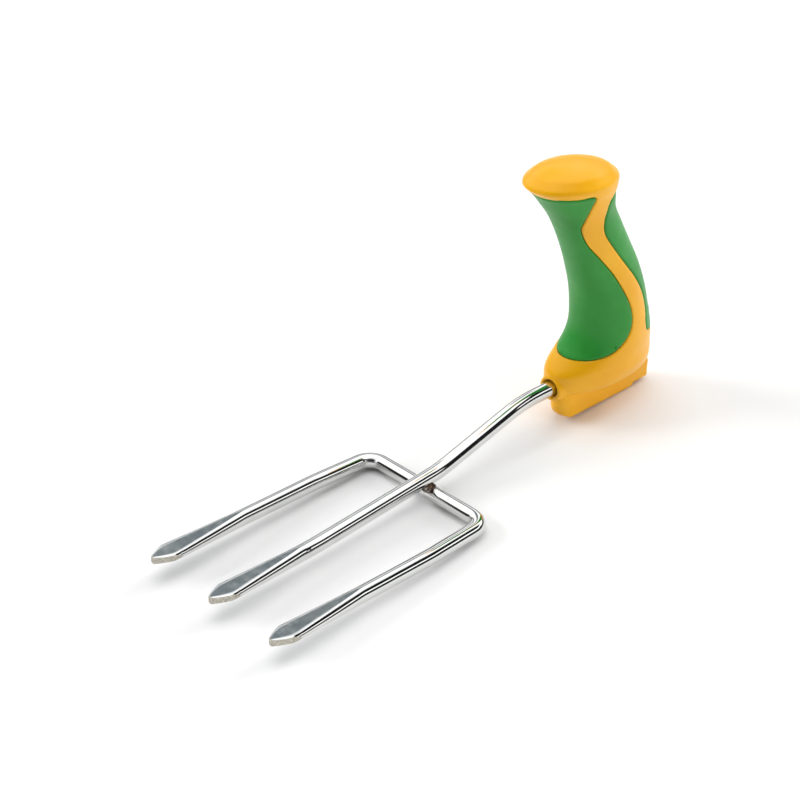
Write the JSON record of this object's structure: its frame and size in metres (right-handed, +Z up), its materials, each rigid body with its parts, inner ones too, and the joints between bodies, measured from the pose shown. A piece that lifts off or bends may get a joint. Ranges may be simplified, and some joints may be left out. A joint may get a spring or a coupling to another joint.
{
  "type": "hand fork with upright grip",
  "caption": "Garden hand fork: a cranked round steel rod and a U-bent rod welded across it make flat-pointed tines, on an upright two-colour pistol-grip handle with soft panels and a domed cap.",
  "frame": {"origin": "middle of the footprint's bounding box, on the ground that the crossbar and the keel's rear edge stand on", "axes": "+Z up, -X towards the tips of the tines, +X towards the handle's heel, Y across the tines; the tool's left and right halves mirror each other in the XZ plane"},
  "size_m": [0.297, 0.094, 0.1481],
  "materials": {
    "plated_steel": "bright plated, mirror polished",
    "weld_metal": "heat-tinted brown weld metal under the plating, rough",
    "yellow_plastic": "semi-gloss moulded",
    "green_rubber": "satin soft-touch moulded"
  },
  "bodies": {
    "root": {"outer_rod": "plated_steel", "centre_rod": "plated_steel", "weld_bead_left": "weld_metal", "weld_bead_right": "weld_metal", "handle_body": "yellow_plastic", "front_grip": "green_rubber", "rear_grip": "green_rubber"}
  },
  "joints": []
}
